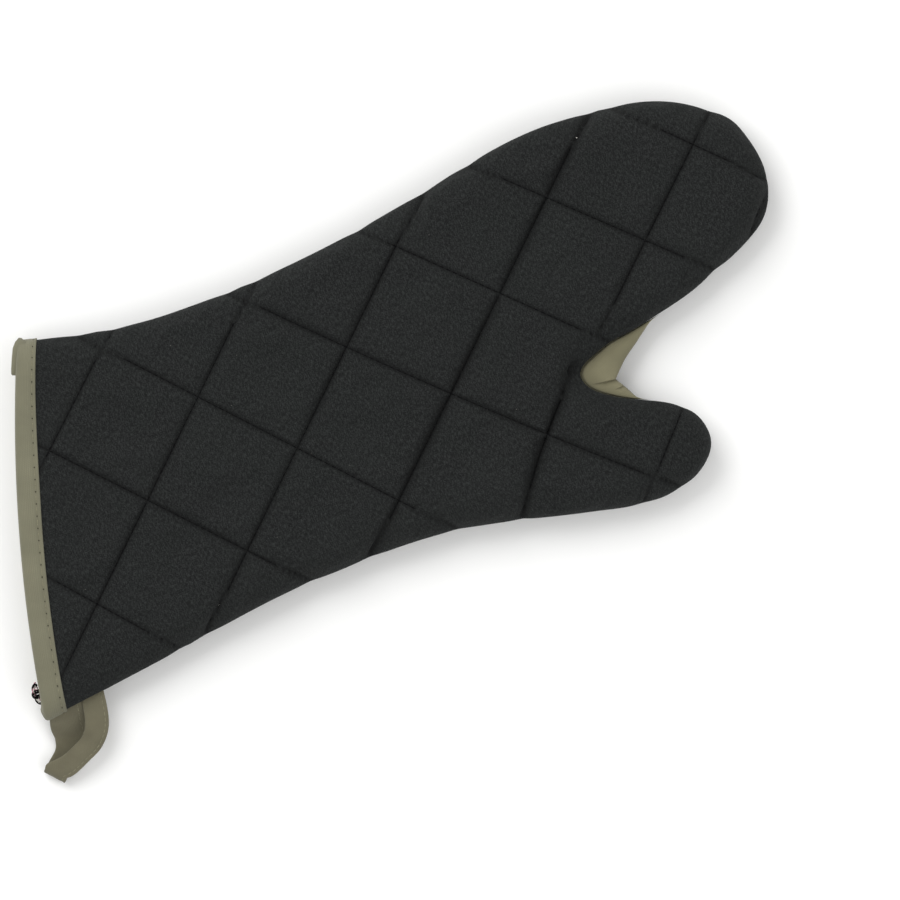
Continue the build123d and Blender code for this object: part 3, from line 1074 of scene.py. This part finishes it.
def build_quilting(side, word):
    points, polygons, centres = stitch_mesh(quilting_paths(side), STITCH, STITCH_STEP, THREAD)
    on_thumb = np.repeat(in_thumb(centres), len(polygons) // len(centres))
    for part, chosen in (("hand", ~on_thumb), ("thumb", on_thumb)):
        picked = [f for f, keep in zip(polygons, chosen) if keep]
        used = np.unique([i for f in picked for i in f])
        place = {int(v): i for i, v in enumerate(used)}
        picked = [tuple(place[i] for i in f) for f in picked]
        obj = new_object(f"{word}_quilting_{part}_stitches", points[used], picked)
        finish_piece(obj, BLACK_THREAD, "quilting_thread", part, *nodes_of(part, f"{word}_quilting"))


def build_seams():
    first, last = np.nonzero(in_thumb(edge))[0][[0, -1]]
    start, end = np.nonzero(hem_inset(edge) > 2.5)[0][[0, -1]]
    for name, begin, stop, stretch, regions in (
        ("thumb_side", start, first, "hand", ["hand"]),
        ("finger_side", last, end, "hand", ["knuckle", "fingers"]),
        ("thumb", first, last, "thumb", ["thumb", "crease"]),
    ):
        piece = seam_allowance(f"seam_allowance_{name}", np.arange(begin, stop + 1))
        nodes = [f"edge_seam_{region}" for region in regions]
        finish_piece(piece, OVERLOCK, "overlocked_seam", stretch, *nodes)


def build_cuff():
    grid, _ = binding_grid(BINDING_PROFILE, ripple=0.12)
    rows, columns = grid.shape[:2]
    polygons = grid_faces(rows, columns, wrap_rows=True, wrap_columns=True)
    along, across = np.arange(rows) * MESH_STEP, np.arange(columns) * 1.0
    uv = np.stack([np.repeat(along, columns), np.tile(across, rows)], axis=1)
    binding = new_object("cuff_binding_tape", grid.reshape(-1, 3), [f[::-1] for f in polygons], uv)
    finish_piece(binding, BINDING_TAPE, "binding_tape", "rigid", "cuff_binding")
    finish_piece(binding_end(), BINDING_TAPE, "binding_tape", "rigid")
    path = [np.vstack([line[:, 0], line[:1, 0]]) for line in binding_grid(TOPSTITCH_PROFILE)]
    points, polygons, _ = stitch_mesh([path], size=5.0, step=HOLE_STEP, radius=0.15)
    stitches = new_object("cuff_binding_topstitches", points, polygons)
    finish_piece(stitches, KHAKI_THREAD, "tape_thread", "rigid", "binding_stitching")
    # Painted shade at the needle holes: small dark pieces put where the holes' shade falls
    points, polygons, _ = stitch_mesh([path], 0.62, HOLE_STEP, 0.32, sink=0.12, start_at=-HOLE_STEP / 2)
    hole_shades = new_object("cuff_binding_painted_hole_shades", points, polygons)
    finish_piece(hole_shades, PAINTED_HOLE_SHADE, "tape_thread", "rigid")


# The tail's threads: name, material, phase, radius, reach, shift along the hem, CAD nodes replaced
TAILS = [
    ("black", BLACK_THREAD, 0.0, 0.62, 3.3, 0.0, ["overlock_tail"]),
    ("pink", PINK_THREAD, 0.35, 0.3, 2.9, 0.6, []),
    ("white", WHITE_THREAD, 0.7, 0.28, 2.6, -0.4, []),
]


def build_trim():
    tape, threads = hanging_loop()
    finish_piece(tape, LOOP_TAPE, "loop_tape", "loop", "hanging_loop", "loop_ends")
    finish_piece(threads, KHAKI_THREAD, "tape_thread", "loop", "loop_stitching")
    finish_piece(web_guard(), GUARD_CLOTH, "guard_cloth", "thumb", "web_guard")
    for colour, thread, phase, radius, reach, shift, nodes in TAILS:
        piece = overlock_tail(f"overlock_tail_{colour}", phase, radius, reach, shift)
        finish_piece(piece, thread, "overlock_thread", "rigid", *nodes)


# ---- camera, floor and light

VIEW_CENTRE = (233.8, -38.5)
VIEW_WIDTH = 450.0
GRAIN_ANGLE = 19.0  # how far the mitt's x axis is turned up to the right in the view
CAMERA_HEIGHT = 5000.0


def build_view():
    scene = bpy.context.scene
    centre = (np.array([*VIEW_CENTRE, 0.0]) + HOME) * MM
    data = bpy.data.cameras.new("camera")
    data.sensor_width = 36
    data.lens = data.sensor_width * (CAMERA_HEIGHT - MIDDLE) / VIEW_WIDTH
    data.clip_end = 20
    camera = bpy.data.objects.new("camera", data)
    camera.location = (centre[0], centre[1], CAMERA_HEIGHT * MM)
    camera.rotation_euler = (0, 0, -radians(GRAIN_ANGLE))
    scene.collection.objects.link(camera)
    scene.camera = camera

    bpy.ops.mesh.primitive_plane_add(size=8, location=(0, 0, 0))
    floor = bpy.context.active_object
    floor.name = "floor"
    made, _, shader = material("pale_floor", 0.9)
    fill_sockets(shader, {"Base Color": (0.93, 0.93, 0.92, 1)})
    floor.data.materials.append(made)

    turn = radians(-GRAIN_ANGLE)

    def light(name, x, y, z, size, power):
        """An area light in metres as seen in the view, with x to the right and y up."""
        lamp = bpy.data.lights.new(name, "AREA")
        lamp.energy = power
        lamp.size = size
        obj = bpy.data.objects.new(name, lamp)
        spot = Vector((x * cos(turn) - y * sin(turn), x * sin(turn) + y * cos(turn), z))
        obj.location = spot
        obj.rotation_euler = (-spot).to_track_quat("-Z", "Y").to_euler()
        scene.collection.objects.link(obj)

    light("key", x=-0.9, y=1.0, z=1.35, size=1.5, power=25)
    light("fill", x=1.2, y=-0.8, z=1.4, size=2.0, power=12)
    world = bpy.data.worlds.new("world")
    world.use_nodes = True
    fill_sockets(world.node_tree.nodes["Background"], {"Color": (1, 1, 1, 1), "Strength": 0.7})
    scene.world = world
    scene.view_settings.view_transform = "Standard"


build_view()
for side, word in ((1, "front"), (-1, "back")):
    build_layers(side, word)
    build_quilting(side, word)
build_seams()
build_cuff()
build_trim()
